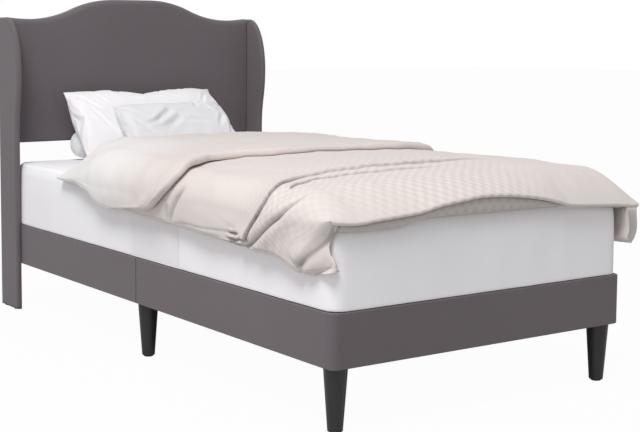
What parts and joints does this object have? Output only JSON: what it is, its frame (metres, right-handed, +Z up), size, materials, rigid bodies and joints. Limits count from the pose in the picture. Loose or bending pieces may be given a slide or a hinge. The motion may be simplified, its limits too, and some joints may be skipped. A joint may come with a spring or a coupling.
{
  "type": "wingback bed",
  "caption": "Single upholstered platform bed with a wavy-topped headboard between two wings, slatted deck, tapered legs and bedding.",
  "frame": {"origin": "on the floor, under the middle of the whole part's box", "axes": "+X to the right seen from the foot end, +Y towards the headboard, +Z up"},
  "size_m": [1.141, 2.032, 1.144],
  "materials": {
    "upholstery": "matte",
    "board_wood": "matte",
    "slat_wood": "satin",
    "leg_wood": "satin",
    "black_steel": "satin",
    "zinc_steel": "satin",
    "black_plastic": "matte",
    "foam": "matte",
    "lining": "matte",
    "grip_tape": "matte",
    "mattress_cloth": "matte",
    "duvet_cloth": "matte",
    "pillow_white": "matte",
    "pillow_grey": "matte",
    "bolster_cloth": "matte"
  },
  "bodies": {
    "frame": {"beam_cups": "black_steel", "beam_sleeve": "black_steel", "centre_beam_foot": "black_steel", "centre_beam_head": "black_steel", "centre_leg_1": "black_steel", "centre_leg_2": "black_steel", "corner_plate_left": "black_steel", "corner_plate_right": "black_steel", "footboard_board": "board_wood", "footboard_cover": "upholstery", "frame_bolts": "zinc_steel", "glides": "black_plastic", "head_bracket_left": "black_steel", "head_bracket_right": "black_steel", "head_rail_board": "board_wood", "head_rail_cover": "upholstery", "headboard_batten": "board_wood", "headboard_board": "board_wood", "headboard_bolts": "zinc_steel", "headboard_cover": "upholstery", "headboard_foam": "foam", "headboard_lining": "lining", "headboard_stile_left": "board_wood", "headboard_stile_right": "board_wood", "joiner_plate_left": "black_steel", "joiner_plate_right": "black_steel", "ledge_left_foot": "board_wood", "ledge_left_head": "board_wood", "ledge_right_foot": "board_wood", "ledge_right_head": "board_wood", "leg_bolts": "zinc_steel", "leg_front_left": "leg_wood", "leg_front_right": "leg_wood", "leg_middle_left": "leg_wood", "leg_middle_right": "leg_wood", "side_board_left_foot": "board_wood", "side_board_left_head": "board_wood", "side_board_right_foot": "board_wood", "side_board_right_head": "board_wood", "side_cover_left_foot": "upholstery", "side_cover_left_head": "upholstery", "side_cover_right_foot": "upholstery", "side_cover_right_head": "upholstery", "slat_tapes": "grip_tape", "slats_foot": "slat_wood", "slats_head": "slat_wood", "steel_screws": "zinc_steel", "wing_board_left": "board_wood", "wing_board_right": "board_wood", "wing_bolts": "zinc_steel", "wing_cover_left": "upholstery", "wing_cover_right": "upholstery", "wood_screws": "zinc_steel"},
    "mattress": {"mattress": "mattress_cloth"},
    "duvet": {"duvet": "duvet_cloth"},
    "bolster": {"bolster": "bolster_cloth"},
    "back_pillow": {"back_pillow": "pillow_white"},
    "front_pillow": {"front_pillow": "pillow_grey"},
    "levelling_foot_1": {"levelling_foot_1": "black_plastic"},
    "levelling_foot_2": {"levelling_foot_2": "black_plastic"}
  },
  "joints": [
    {"name": "mattress_lift", "type": "slide", "parent": "frame", "child": "mattress", "axis": [0, 0, 1], "range_m": [0, 0.35]},
    {"name": "duvet_lift", "type": "slide", "parent": "mattress", "child": "duvet", "axis": [0, 0, 1], "range_m": [0, 0.3]},
    {"name": "bolster_lift", "type": "slide", "parent": "mattress", "child": "bolster", "axis": [0, 0, 1], "range_m": [0, 0.3]},
    {"name": "back_pillow_lift", "type": "slide", "parent": "bolster", "child": "back_pillow", "axis": [0, 0, 1], "range_m": [0, 0.3]},
    {"name": "front_pillow_lift", "type": "slide", "parent": "back_pillow", "child": "front_pillow", "axis": [0, 0, 1], "range_m": [0, 0.3]},
    {"name": "levelling_foot_1_screw", "type": "slide", "parent": "frame", "child": "levelling_foot_1", "axis": [0, 0, 1], "range_m": [0, 0.012]},
    {"name": "levelling_foot_2_screw", "type": "slide", "parent": "frame", "child": "levelling_foot_2", "axis": [0, 0, 1], "range_m": [0, 0.012]}
  ]
}
